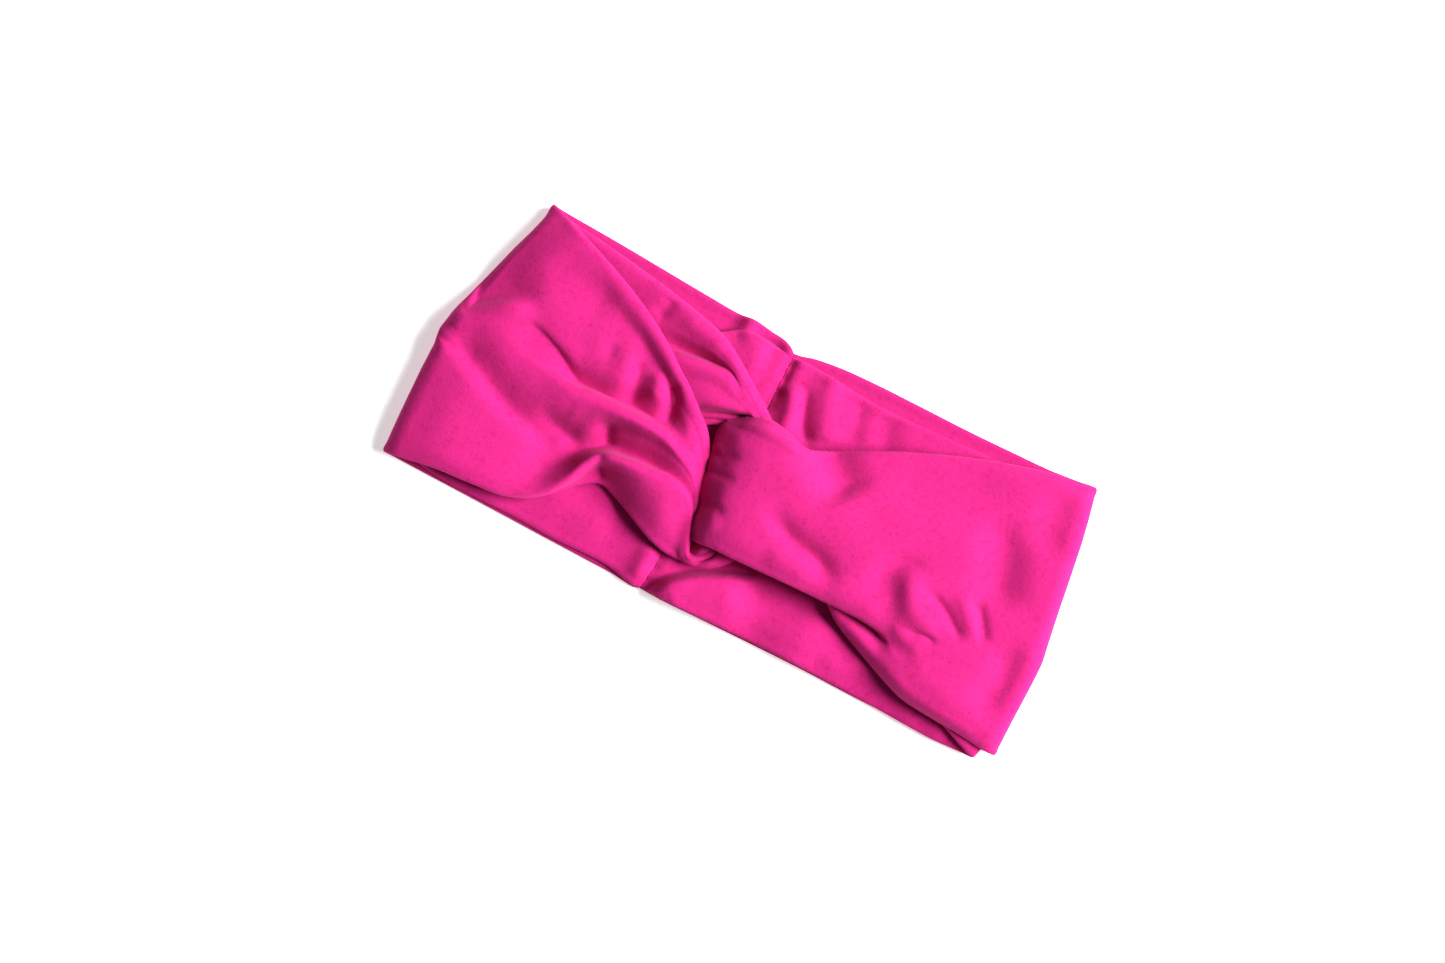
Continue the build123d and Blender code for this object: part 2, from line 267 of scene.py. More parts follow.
def skin(grid, thickness=THICKNESS, puff_height=EDGE_PUFF, grooves=(0, 0)):
    """The closed skin of a flat tube about its middle surface: vertices in metres, and faces.

    grooves are the depths of the closing seam on its two faces."""
    along = np.gradient(grid, axis=0)
    across = np.gradient(grid, axis=1)
    normal = np.cross(along, across)
    normal /= np.maximum(np.linalg.norm(normal, axis=-1, keepdims=True), 1e-9)
    step = np.linalg.norm(np.diff(grid, axis=1), axis=-1)
    from_first = np.concatenate([np.zeros((len(grid), 1)), np.cumsum(step, axis=1)], axis=1)
    full_width = from_first[:, -1:]
    in_from_edge = np.minimum(from_first, full_width - from_first)
    roundness = np.sqrt(1 - (1 - np.clip(in_from_edge / EDGE_RADIUS, 0, 1))**2)
    puff = puff_height * np.exp(-((in_from_edge - PUFF_AT) / PUFF_WIDTH)**2)
    half = (roundness * (thickness + puff) / 2)[..., None]
    groove = np.exp(-((from_first - full_width / 2) / GROOVE_WIDTH)**2)[..., None]
    face = grid + normal * (half - grooves[0] * groove)
    back = grid - normal * (half - grooves[1] * groove)
    rings = np.concatenate([face, back[:, -2:0:-1]], axis=1)
    row_count, around = rings.shape[:2]
    start = np.arange(row_count - 1)[:, None] * around
    here = np.arange(around)
    after = (here + 1) % around
    walls = np.stack([start + here, start + around + here, start + around + after, start + after], -1)
    ends = []
    for base, order in ((0, 1), ((row_count - 1) * around, -1)):
        for column in range(grid.shape[1] - 1):
            under, under_next = (around - column) % around, (around - column - 1) % around
            quad = [base + i for i in (column, column + 1, under_next, under)]
            quad = list(dict.fromkeys(quad))
            if len(quad) > 2:
                ends.append(quad[::order])
    return rings.reshape(-1, 3) * MM, walls.reshape(-1, 4).tolist() + ends


def joined(shells):
    """Several closed skins as the vertices and faces of one mesh."""
    vertices, faces = [], []
    for shell_vertices, shell_faces in shells:
        first = len(vertices)
        vertices.extend(shell_vertices)
        faces.extend([[first + i for i in face] for face in shell_faces])
    return vertices, faces


def mesh_object(name, vertices, faces, material):
    """A smooth-shaded mesh object with one material."""
    mesh = bpy.data.meshes.new(name)
    mesh.from_pydata([tuple(v) for v in vertices], [], faces)
    mesh.validate()
    mesh.polygons.foreach_set("use_smooth", [True] * len(mesh.polygons))
    mesh.materials.append(material)
    made = bpy.data.objects.new(name, mesh)
    bpy.context.scene.collection.objects.link(made)
    return made


# ---- left tube --------------------------------------------------------------------------------
def left_front():
    """The left tube's outer leg, from the band's end to its gathered tail under the right tube."""
    lower_edge = [
        (-120, -53.6, 7), (-107, -51.4, 8.8), (-91, -50, 9.4), (-79, -48.6, 8.8), (-71, -45.5, 8),
        (-66, -41.8, 7.4), (-61, -37, 6.4), (-55.5, -32, 5.6), (-49, -28.5, 5.2), (-41.5, -30.3, 5.4),
        (-32, -34.4, 8.2), (-23.5, -38.2, 8.6), (-17.5, -39.9, 7.8), (-13, -40.3, 7),
        (-10.5, -40.2, 6.8), (-8, -39.9, 6.8), (-5, -39.7, 7), (0, -38.2, 7.2), (5, -34.9, 7.6),
        (10.5, -28, 8.4)]
    roll_body = [
        (-120.5, -52, 8.6), (-107.5, -49.8, 10.2), (-91, -48.6, 10.6), (-79, -47.1, 10.2),
        (-70.8, -44.2, 9.6), (-65, -39.6, 9), (-59.2, -33, 8.4), (-55, -26.4, 8), (-50.8, -22.6, 7.6),
        (-42.4, -22.4, 11.8), (-33, -24.2, 14), (-24.4, -26.8, 14.2), (-19, -29.5, 12.4),
        (-15.3, -32.5, 10.4), (-12.6, -35.2, 9.4), (-9.6, -37.6, 9.2), (-5.6, -38.6, 8.8),
        (-1, -36.8, 9.8), (4, -33.2, 10), (9, -27.4, 10.2)]
    roll_rim = [
        (-120.8, -49, 10), (-108.8, -46.6, 12), (-92.5, -45.6, 11.6), (-79.5, -45, 10.8),
        (-71.5, -43.2, 10.8), (-65.8, -39.4, 11.4), (-60.8, -32, 12.8), (-57, -23.4, 14.8),
        (-52.4, -19, 15.6), (-44, -17, 16.4), (-34.5, -16.4, 16.4), (-26, -16.2, 16), (-19, -18, 14.6),
        (-15, -21.5, 12.6), (-12.6, -27, 11.2), (-10, -33, 10.2), (-6.6, -37.4, 9.6),
        (-2, -35.4, 9.8), (2.6, -31.6, 10), (6.6, -27, 10.2)]
    beside_rim = [
        (-121, -42, 11), (-109.5, -41, 12.8), (-93, -40.5, 12), (-81, -40, 10.6), (-75, -37.8, 9.2),
        (-71.2, -34, 8), (-65.6, -27, 7), (-60.4, -20.5, 6.6), (-53.6, -15.8, 6.6),
        (-44.7, -14.2, 8), (-35, -13.6, 9.8), (-26.6, -13.6, 12), (-19.8, -15.6, 12),
        (-15.2, -19, 10.4), (-12.4, -25.2, 8.8), (-9.8, -31.6, 8), (-7, -36.4, 7.2),
        (-3.4, -34.6, 8.4), (-0.7, -31, 9), (3.3, -26.6, 9.4)]
    middle = [
        (-121.2, -30, 11.4), (-110, -30.5, 13.4), (-94, -31, 12.6), (-83.5, -29.5, 11.4),
        (-78.6, -26, 10), (-73.6, -21.4, 8.4), (-67.6, -16.4, 8.2), (-61.4, -11.8, 9.8),
        (-54, -8.6, 9.8), (-44.8, -7.2, 12), (-35, -6.8, 13.2), (-26.4, -8.4, 13.8),
        (-19.8, -11.8, 12.6), (-15.4, -17, 10.6), (-12.6, -23.4, 9.6), (-10.2, -29.8, 9.2),
        (-7.6, -35.6, 6), (-4.2, -34, 9.6), (-1.2, -30, 9.8), (2, -26.2, 9.4)]
    long_ridge = [
        (-121.5, -1, 11.6), (-109, 0.2, 13.6), (-95, 0.2, 13.8), (-85, -0.6, 14.2), (-79, -0.8, 14.6),
        (-73, -1.2, 15), (-67, -0.6, 15.2), (-60, -0.2, 15.4), (-52.5, 0.2, 15.6), (-44.5, 0.2, 15.6),
        (-35.5, -0.8, 15.4), (-27, -4.2, 14.8), (-20.6, -8.4, 13.2), (-16, -13.8, 11),
        (-13, -20.4, 9), (-10.6, -27.4, 8.8), (-7.8, -33.6, 5.2), (-5, -32.2, 9), (-2.6, -29, 9.4),
        (0.4, -26, 8.8)]
    above_ridge = [
        (-121.4, 4, 11.6), (-109.2, 5.5, 14), (-95.6, 3.6, 13), (-85.4, 1.8, 12.4), (-79.4, 1.6, 10.8),
        (-73.4, 1, 9), (-67, 1.6, 9), (-59.9, 2, 9.2), (-52.4, 2.4, 8.4), (-44.5, 2.4, 9.2),
        (-36, 1.4, 11.4), (-27.4, -1.8, 13.8), (-21, -6.2, 12.8), (-16.3, -12.2, 10.8),
        (-13.1, -19, 8.6), (-10.6, -26, 8.4), (-7.8, -31.8, 5), (-5.8, -30.6, 7.6), (-3.8, -28.2, 8.6),
        (-1, -25.6, 8.6)]
    lobe_foot = [
        (-121.2, 5.8, 11.3), (-109.2, 9.6, 13.8), (-96, 11.4, 12.2), (-86, 8.2, 11.4), (-80, 5.4, 9.8),
        (-74, 2.6, 8.8), (-67.2, 3.2, 9.2), (-59.8, 3.8, 9.8), (-52.3, 4.4, 8.2), (-44.3, 4.4, 9.8),
        (-36.4, 3.6, 10.2), (-27.8, 0.2, 13.2), (-21.2, -4.8, 12.5), (-16.4, -11, 10.6),
        (-13.2, -18, 8.4), (-10.6, -25.2, 8), (-7.8, -30.8, 5), (-6.6, -29.6, 6),
        (-4.4, -27.8, 7.8), (-2, -25.5, 8)]
    lobe_wall = [
        (-121, 8, 11), (-109, 14.6, 13.9), (-96.4, 14.8, 13.4), (-86.6, 11.8, 13.4),
        (-80.4, 9.6, 12.9), (-74.4, 8, 12.2), (-67.4, 8.6, 12.8), (-59.8, 9.4, 13.2), (-52.2, 10, 10.8),
        (-44.2, 9.6, 12.8), (-36.6, 7, 10.2), (-28.2, 2.8, 13), (-21.4, -2.9, 12.3),
        (-16.6, -9.4, 10.4), (-13.2, -16.8, 8.6), (-10, -24.5, 7.4), (-7.4, -30.3, 6.6),
        (-5.9, -29.2, 6.8), (-4.6, -27.5, 7), (-2.5, -25.3, 7.4)]
    lobe = [
        (-120.2, 11.6, 9.4), (-108.8, 18.8, 12.3), (-97, 20.8, 13.8), (-87.5, 19.6, 13.9),
        (-80.8, 17.8, 13.5), (-74.8, 16.2, 13.4), (-67.5, 15.6, 13.2), (-59.8, 15.6, 13.8),
        (-52, 15, 11.6), (-44, 12.8, 12.8), (-36.8, 9.4, 10.8), (-28.8, 5, 12.9), (-21.8, -1.2, 12),
        (-16.9, -8.2, 10.1), (-13.3, -15.9, 8.5), (-10, -23.8, 7.3), (-7.5, -29.6, 6.6),
        (-6, -28.7, 6.8), (-4.8, -27.1, 7), (-2.8, -25.1, 7.4)]
    upper_body = [
        (-116, 31, 9), (-106, 34, 12.6), (-96, 34.6, 13.2), (-87, 34, 12.8), (-80, 33, 12.5),
        (-74, 31.2, 12.9), (-67, 28.8, 12.7), (-59, 25.6, 12.4), (-51.4, 21.6, 11.9),
        (-44.4, 17.4, 11.5), (-37.6, 12.6, 11.6), (-29.6, 8, 12.8), (-22.4, 1.8, 11.5), (-17.4, -6, 9.6),
        (-13.6, -14, 7.8), (-10.2, -22.4, 7), (-7.6, -28.4, 6.5), (-6.4, -27.8, 6.6),
        (-5.4, -26.4, 6.8), (-3.6, -24.8, 7.2)]
    upper_rim = [
        (-108.2, 52.4, 8.5), (-100, 50.4, 12.2), (-92, 47.6, 13.8), (-84.6, 44.9, 14.4),
        (-78.2, 42.2, 14.6), (-72.2, 39.5, 14.8), (-65.2, 36.3, 14.8), (-57.4, 32, 14.8),
        (-50.2, 27.6, 14.6), (-43.8, 22.9, 14.4), (-36.8, 18, 14), (-29.6, 12.4, 12.8),
        (-22.8, 6, 10.9), (-18.1, -1.8, 9), (-14.8, -10.6, 7.4), (-10.8, -20, 6.8),
        (-8, -27.2, 6.6), (-7, -26.8, 6.6), (-6.2, -26, 6.6), (-4.6, -24.6, 7)]
    upper_edge = [
        (-107.3, 55.2, 7.6), (-99.5, 52.3, 11.4), (-91, 49.2, 12.9), (-83.5, 46.4, 13.5),
        (-77, 43.8, 13.7), (-71, 41.1, 13.8), (-64, 37.8, 13.8), (-56.2, 33.5, 13.8),
        (-49, 28.9, 13.6), (-42.5, 24, 13.4), (-35.5, 19, 13), (-28.5, 13.2, 12),
        (-21.8, 6.9, 9.4), (-17.4, -0.8, 7.6), (-14.4, -9.6, 7), (-10.6, -19, 6.5),
        (-8.2, -26, 6.3), (-7.4, -26, 6.4), (-6.8, -25.4, 6.4), (-5.2, -24.2, 6.8)]
    grid = panel(lower_edge, roll_body, roll_rim, beside_rim, middle, long_ridge, above_ridge,
                 lobe_foot, lobe_wall, lobe, upper_body, upper_rim, upper_edge)
    # under the long ridge, where the lit lower panel begins
    stroke(grid, [(-127, -5), (-116, -8.5), (-108, -12), (-100, -16), (-92, -19.5), (-80, -22),
                  (-68, -24)], -3.6, 8, 2.6, taper=0.25)
    # round the mound at the band's end
    stroke(grid, [(-132, 2), (-121, 11.5), (-111, 19), (-98, 24)], -2.2, 11, 3.4, taper=0.35)
    stroke(grid, [(-127, -2), (-118, 6.5), (-109, 13), (-98, 17)], 1.1, 4, taper=0.25)
    # folds between the long ridge and the upper rim
    stroke(grid, [(-58, 23), (-55.5, 15), (-53, 7), (-51, 1)], -1.5, 2.8)
    stroke(grid, [(-43, 20), (-39.5, 13), (-37.5, 6), (-36, 0)], -2.2, 2.4)
    stroke(grid, [(-48, 20), (-45.5, 8)], 1.2, 3)
    stroke(grid, [(-69, 21), (-67, 14)], -0.6, 2.4)
    # hollows between the long ridge and the roll
    stroke(grid, [(-84, -13), (-75, -15.5), (-66, -18), (-58, -19)], -1.6, 3)
    stroke(grid, [(-57, -5), (-55, -10), (-52, -15.5)], -2.2, 2.4)
    # the sharp crest of the roll, a swell above it, and a crease across it
    stroke(grid, [(-57, -22), (-52, -18.2), (-44, -16.2), (-34, -15.6), (-26, -15.6)], 0.5, 2.4)
    stroke(grid, [(-73, -8), (-64, -10.5), (-57, -10)], 1.2, 4.4)
    stroke(grid, [(-53.5, -17), (-52, -22), (-48.5, -28)], -1.6, 1.8)
    # creases of the tail
    stroke(grid, [(-4.8, -38.4), (-1.2, -35.8), (1.4, -31.8), (3, -27)], -2.4, 0.9, taper=0.15)
    stroke(grid, [(1.5, -36), (3.6, -33), (5, -29)], -0.5, 0.8)
    ripple(grid, 0.10, seed=11)
    soften(grid, 2)
    return grid


def left_inner():
    """The left tube's inner leg, from the knot back to the band's left end."""
    upper_edge = [
        (4, 17.5, 8.4), (-1.5, 21.2, 9.2), (-8.4, 26.2, 10.2), (-15.6, 31.2, 10.4), (-23, 36.2, 10),
        (-31, 40.8, 9.6), (-42, 44.2, 9.2), (-56, 47.2, 8.8), (-72, 49.8, 8.4), (-90, 52.4, 7.8),
        (-104.5, 54, 6)]
    upper_rim = [
        (3.6, 15.6, 9.2), (-3, 19.8, 10.4), (-10, 24.4, 11.8), (-17, 29.4, 12.2), (-24, 34.4, 11.8),
        (-31.6, 38.8, 11.2), (-42.4, 42.2, 10.6), (-56.2, 45.2, 10.2), (-72.2, 47.8, 9.8),
        (-90, 50.2, 9), (-105, 51.8, 6.8)]
    upper_body = [
        (3.5, 15, 9), (-3.4, 19, 10.2), (-10.4, 23.2, 12), (-17.4, 27.8, 12.7), (-24.4, 32.4, 12),
        (-31.9, 34.6, 10.8), (-42.4, 35.6, 9.8), (-56.4, 36.4, 9), (-72.4, 37, 8), (-90.6, 37.4, 7),
        (-107.5, 38, 6)]
    above_pleat = [
        (3.4, 14.4, 9), (-3.8, 18.3, 10.2), (-10.8, 22.2, 12.1), (-17.8, 26.4, 12.9),
        (-24.8, 30.6, 11), (-32.2, 30.6, 8), (-42.6, 29.4, 7), (-57, 27.4, 6.6), (-73, 24.6, 6),
        (-91, 21.6, 5.6), (-110, 20, 5.8)]
    pleat_rim = [
        (3.2, 13.8, 9), (-4, 17.8, 10.2), (-11, 21.4, 12.1), (-18, 25.2, 13), (-25, 29.4, 12.4),
        (-32.2, 29.4, 11.6), (-42.6, 28.4, 10.6), (-57, 25.8, 8), (-73, 22.8, 6.4), (-91, 19.4, 5.8),
        (-110.5, 18, 6)]
    body = [
        (2.6, 12.4, 9), (-4.4, 17.3, 10), (-11, 20.9, 12), (-18, 22.4, 13), (-25.4, 23.8, 13),
        (-32.8, 23, 12.4), (-44, 19, 10), (-58, 14, 6.6), (-74, 6, 5.8), (-92, -2, 5.6),
        (-114, -6, 6)]
    lower_rim = [
        (2.4, 11, 8.8), (-4.8, 16.8, 9.4), (-10.8, 20.3, 10.8), (-17, 19, 11.8), (-24, 16.6, 11.6),
        (-31, 13.8, 10.4), (-45, 6, 7.4), (-60, -6, 5.8), (-76, -20, 5.2), (-95, -36, 5.4),
        (-115.8, -44, 6)]
    tuck = [
        (2.2, 10.4, 7), (-4.6, 16, 6.4), (-10.6, 19.2, 6), (-16.8, 17.9, 6), (-23.4, 15.6, 6.4),
        (-30.4, 12.4, 6.8), (-44.4, 4, 6.8), (-60, -9, 5.4), (-76.4, -23.4, 5), (-95.4, -38.6, 5.3),
        (-116.2, -46.4, 6)]
    second_fold = [
        (2, 9, 6.6), (-5, 14, 6.6), (-11.4, 17.2, 7), (-17.4, 15.8, 8), (-23, 13.8, 8.2),
        (-29.4, 10.8, 7.6), (-44, 1.4, 6.6), (-60, -12, 5.3), (-76.8, -26.4, 5), (-95.8, -41, 5.3),
        (-116.6, -48.4, 6)]
    second_tuck = [
        (1.8, 8.4, 6), (-5.4, 12.6, 5.8), (-11.6, 15.6, 5.8), (-17.6, 14.4, 5.8), (-23, 12.6, 6.2),
        (-29, 9.4, 6.4), (-44, -1, 6.4), (-60.2, -14.6, 5.3), (-77, -29, 5), (-96, -43, 5.3),
        (-117, -50, 6)]
    third_fold = [
        (1.6, 7, 5.6), (-6, 11, 5.4), (-12, 14, 5.4), (-18, 12.8, 5.8), (-22.8, 11.4, 6.2),
        (-28.6, 8, 6.2), (-44, -3, 6.2), (-60.3, -16.4, 5.3), (-77.2, -30.6, 5),
        (-96.2, -44.2, 5.3), (-117.2, -50.8, 6)]
    last_edge = [
        (1.6, 6, 5.4), (-6, 9.6, 5.2), (-12, 12.4, 5.2), (-18, 11.4, 5.2), (-22.8, 10.2, 5.4),
        (-28, 5, 5.8), (-44, -5, 6), (-60.4, -18, 5.2), (-77.4, -32, 5), (-96.4, -45.4, 5.2),
        (-117.5, -51.8, 5.8)]
    grid = panel(upper_edge, upper_rim, upper_body, above_pleat, pleat_rim, body, lower_rim, tuck,
                 second_fold, second_tuck, third_fold, last_edge)
    # a dent in the upper rim, and a swell below it
    stroke(grid, [(-57, 47), (-56.5, 42), (-60, 36)], -1.2, 3)
    stroke(grid, [(-52, 42), (-38, 38), (-28, 35.5)], 0.8, 4)
    ripple(grid, 0.08, seed=12)
    soften(grid, 2)
    return grid


def left_back_inner():
    """The left tube's inner leg behind, from the band's end to the back seam."""
    upper_edge = [(-105.5, 53.2), (-90, 50.3), (-72, 46), (-56, 42), (-45, 40.5), (-36, 42.4),
                  (-28.5, 46.9), (-20, 48.1), (-13, 47.4), (-9.4, 46.8), (-7.05, 46.5)]
    lower_edge = [(-117.5, -51.8), (-106, -53.8), (-88, -54.1), (-70, -54.2), (-55, -54.6),
                  (-42, -54.2), (-33, -54.3), (-27, -55.4), (-23.5, -56.2), (-20.6, -56.5),
                  (-18.25, -56.1)]
    levels = [2.7, 2.7, 2.7, 2.7, 2.8, 2.9, 3.2, 3.6, 4.0, 4.2, 4.2]
    grid = plain_panel(upper_edge, lower_edge, levels)
    join_seam(grid, DITCH_DEPTH)
    # the cloth stands up along its upper edge, with a dent in it
    stroke(grid, [(-42, 36), (-32, 39), (-22, 42), (-13, 43)], 3.4, 8, 12, taper=0.25)
    stroke(grid, [(-36, 47), (-31, 43), (-26, 47)], -1.4, 4)
    # soft swells and a fine crease towards the seam's lower end
    stroke(grid, [(-22, -38), (-20.5, -47), (-21, -56)], 1.6, 4)
    stroke(grid, [(-70, -38), (-52, -40), (-36, -44)], 1.0, 7)
    stroke(grid, [(-16.5, -38), (-16.8, -45), (-17.6, -52)], -0.5, 1.4)
    ripple(grid, 0.16, seed=13)
    return grid


def left_back_outer():
    """The left tube's outer leg behind, from the back seam to the band's end."""
    lower_edge = [(-18.25, -56.4), (-20.6, -57), (-24, -56.8), (-30, -56.2), (-40, -56),
                  (-55, -55.8), (-72, -55.5), (-90, -55.2), (-106, -55), (-120, -54.8)]
    upper_edge = [(-7.05, 48.2), (-8.5, 49.4), (-11.5, 50.9), (-18, 51.8), (-25, 52.7),
                  (-32, 52.1), (-45, 52.7), (-62, 53.7), (-84, 55), (-106, 56)]
    grid = plain_panel(lower_edge, upper_edge, [GROUND_LEVEL] * len(lower_edge), rim=0.0)
    join_seam(grid, -GROUND_LIFT)
    # two places where the upper edge stands up off the floor
    stroke(grid, [(-26, 58), (-27, 38)], 2.4, 3.6)
    stroke(grid, [(-9, 58), (-9, 38)], 2.0, 3.6)
    return grid


def left_tube():
    """The whole left tube's middle surface, from the back seam through the knot and back to it."""
    outside, front = left_back_outer(), left_front()
    inner, inside = left_inner(), left_back_inner()
    return np.concatenate([
        outside,
        side_fold(outside, front, LEFT_END),
        front,
        bridge(front, inner, reach_from=np.array([14, 22, 0]), reach_to=np.array([20, -6, 0]),
               count=40),
        inner,
        side_fold(inner, inside, LEFT_INNER_END),
        inside,
    ])


# ---- right tube -------------------------------------------------------------------------------
def right_front():
    """The right tube's outer leg, from the band's end to where it turns down behind the knot."""
    lobe_edge = [
        (122, -50.8, 6.8), (112, -49.6, 7.6), (100, -48.9, 7.6), (88, -47.8, 7.4), (80, -45.2, 7),
        (74, -43, 6.8), (68, -40.5, 6.6), (60, -37.2, 6.8), (52, -33.3, 7.4), (45, -28, 8.4),
        (30, -23, 10), (15, -22, 10.5), (5, -24, 10.5), (-1, -26.5, 9.8), (-5.8, -29.6, 8.8),
        (-8.2, -30.7, 8)]
    lobe_body = [
        (122, -48.4, 9.2), (112, -47.3, 11.4), (100, -46.5, 12.2), (88, -45, 12.2), (80, -42.4, 12),
        (74, -39.6, 11.4), (68, -36.6, 11), (60, -33.4, 10.4), (52, -30.4, 9.8), (45, -26.6, 9.6),
        (30, -24, 10.2), (15, -23.4, 10.8), (5, -25, 10.8), (-1, -27.2, 10.2), (-5.8, -29.9, 9.4),
        (-8.2, -30.6, 8.6)]
    pocket = [
        (122, -45.5, 10.4), (112, -44, 12.4), (100, -43, 13.2), (88, -41, 13.2), (80, -38, 12.8),
        (74, -33.8, 11.6), (68, -30.2, 8), (60, -27.8, 7.4), (52, -26.8, 7.8), (45, -26, 9),
        (30, -25, 10.4), (15, -25, 11), (5, -26.4, 11.2), (-1, -28.2, 11), (-5.8, -30.2, 10),
        (-8.2, -30.4, 9.2)]
    lower_rim = [
        (122, -42, 11), (112, -40.5, 12.8), (100, -39, 13.8), (88, -35.6, 13.8), (80, -32.6, 12.8),
        (74, -30.8, 12.2), (68, -29.2, 12.2), (60, -28.4, 12.6), (52, -28.4, 12.8), (45, -28.6, 12.8),
        (30, -29, 14.8), (15, -29.6, 15.2), (5, -30, 15.2), (-1, -30, 14.8), (-5.6, -30.2, 13.2),
        (-8, -30.1, 10.2)]
    above_rim = [
        (122, -35, 11.2), (112, -34, 12.4), (100, -33, 13.4), (88, -30, 13.6), (80, -27.8, 13.6),
        (74, -26.8, 13.8), (68, -26, 14), (60, -25.6, 14.8), (52, -25.6, 15.2), (45, -25.8, 15.4),
        (30, -26, 16.6), (15, -26.4, 17.4), (5, -26.6, 17.4), (-1, -26.6, 16.8), (-6, -26.6, 15),
        (-8.4, -26.4, 12.6)]
    lower_body = [
        (121.6, -22, 11.2), (112, -21, 12), (102, -20, 12.8), (90, -18, 14.2), (80, -16.4, 15),
        (73, -15, 15), (66, -14.4, 14.4), (58, -14.6, 15.8), (50, -15, 16.6), (42, -15.6, 17),
        (30, -16, 17.6), (15, -17, 18.8), (5, -17, 19.2), (-1, -17, 18.9), (-6, -17, 17.2),
        (-8.8, -17, 14.2)]
    centre = [
        (119.8, 0, 11.2), (110, 0, 12), (100, 0.5, 12.6), (90, 1, 13.4), (80, 1, 14.2), (72, 1, 14.8),
        (64, 0.8, 16), (56, 0.5, 16.8), (48, 0, 17.6), (40, -0.5, 18.2), (30, -1, 18.8),
        (15, -2, 19.6), (5, -2.5, 19.8), (-1, -3, 19.4), (-7.4, -3.5, 17.6), (-11.8, -4, 14.4)]
    upper_body = [
        (117.2, 19, 11), (108, 19.5, 11.8), (98, 19.5, 12.6), (88, 18.6, 13.4), (78, 17.4, 14.2),
        (70, 16.2, 14.8), (62, 15.2, 15.4), (54, 14, 16), (46, 12.4, 16.4), (38, 10.6, 17.2),
        (28, 8.6, 18.4), (15, 7, 19.8), (4, 7.4, 19.6), (-3, 7.8, 18.9), (-9.8, 8.6, 16.6),
        (-14.2, 9, 13)]
    below_upper_rim = [
        (113.6, 38, 10), (104, 38.5, 10.6), (94, 37.8, 11.2), (84, 35.6, 11.6), (74, 32.8, 12),
        (66, 30.2, 12.6), (58, 27.6, 13.2), (50, 24.8, 13.8), (42, 21.6, 14.6), (34, 18.4, 15.6),
        (24.5, 14.6, 17.2), (14, 12.6, 18.6), (4, 14, 18.8), (-4, 14, 17.4), (-10.2, 13.8, 14.8),
        (-14, 13.4, 12)]
    upper_rim = [
        (111.2, 51.2, 8.4), (101, 49.8, 10), (91, 47.8, 10.8), (81, 44.9, 11.4), (71, 41.5, 11.8),
        (63, 38.5, 12.2), (55, 35.2, 12.6), (47, 31.8, 13.2), (39, 27.8, 13.8), (31, 23.6, 14.8),
        (21, 18.5, 16), (12, 16.2, 17.4), (4, 18.4, 17.6), (-3.4, 19, 16.6), (-8.8, 17.6, 14.6),
        (-12, 16.2, 12.2)]
    upper_edge = [
        (110.2, 54.4, 6.2), (100, 52.5, 8.4), (90, 50.1, 9.2), (80, 47.1, 9.8), (70, 43.8, 10.2),
        (62, 40.8, 10.6), (54, 37.5, 11), (46, 34, 11.4), (38, 30.1, 12), (30, 26, 12.6),
        (20, 20.9, 13.2), (12, 18.5, 14.4), (4, 20.9, 14.6), (-2.8, 21.9, 13.4), (-7.4, 20.6, 12.2),
        (-10.2, 19.2, 10.8)]
    grid = panel(lobe_edge, lobe_body, pocket, lower_rim, above_rim, lower_body, centre, upper_body,
                 below_upper_rim, upper_rim, upper_edge)
    # the crumple near the band's right end
    stroke(grid, [(57, -22), (59.5, -11), (64, -3.5), (75, 1)], -1.9, 4.6, taper=0.4)
    stroke(grid, [(71, -1), (71, -9), (76, -17), (91, -20)], 1.9, 4.6)
    stroke(grid, [(75, -7), (86, -11), (92.5, -15.5), (98.5, -20.5)], -1.6, 1.9)
    stroke(grid, [(94, -1), (100, -8), (106, -17)], -1.5, 2.2)
    stroke(grid, [(87, -2), (95, -9), (103, -17.5)], 1.2, 2.6)
    stroke(grid, [(77, -25.5), (83, -23), (90, -24)], -1.6, 1.3)
    stroke(grid, [(70, -24), (78, -27.5), (88, -28.5)], 0.8, 2.4)
    # broad soft hollows, and a swell beside one of them
    stroke(grid, [(88, 32), (97, 15), (104, -6)], -3.6, 9)
    stroke(grid, [(106, 50), (110, 22)], -1.8, 7)
    stroke(grid, [(112, -8), (117, -24), (113, -42)], -2.2, 6)
    stroke(grid, [(19, 25), (26, 17), (37, 7)], -4.4, 9)
    stroke(grid, [(8, -7), (24, -14), (38, -17.5), (47, -25)], -2.6, 4.5, 3.5)
    stroke(grid, [(16, -23), (28, -22.5), (38, -24)], 1.0, 4)
    stroke(grid, [(88, 42), (60, 26), (40, 18)], -0.6, 8)
    # puckers and a swell where the tube turns down
    stroke(grid, [(-18, -3), (-12, 2), (-6, 5)], -1.0, 1.8)
    stroke(grid, [(-17, -5), (-11, -5), (-4, -4)], -1.0, 1.8)
    stroke(grid, [(-14, -17.5), (-8, -16.5), (-2, -16.5)], -1.0, 1.8)
    stroke(grid, [(-14, -24), (-8, -22), (-1, -23)], 0.8, 3)
    ripple(grid, 0.10, seed=21)
    soften(grid, 2)
    return grid


def right_inner():
    """The right tube's inner leg, from under the knot to the band's right end."""
    lower_edge = [(-8, -26.6), (4, -26), (18, -27), (32, -27.5), (46, -28), (60, -32), (75, -38),
                  (90, -44), (104, -49), (114, -53)]
    upper_edge = [(-8.6, 15), (4, 15), (18, 16), (32, 20), (46, 26.5), (60, 33), (75, 40), (90, 46),
                  (100, 49.5), (108, 52)]
    grid = plain_panel(lower_edge, upper_edge, [6, 5.8, 7.4, 8.8, 7.6, 6.6, 6.4, 6.8, 6.8, 6.2])
    ripple(grid, 0.1, seed=22)
    return grid


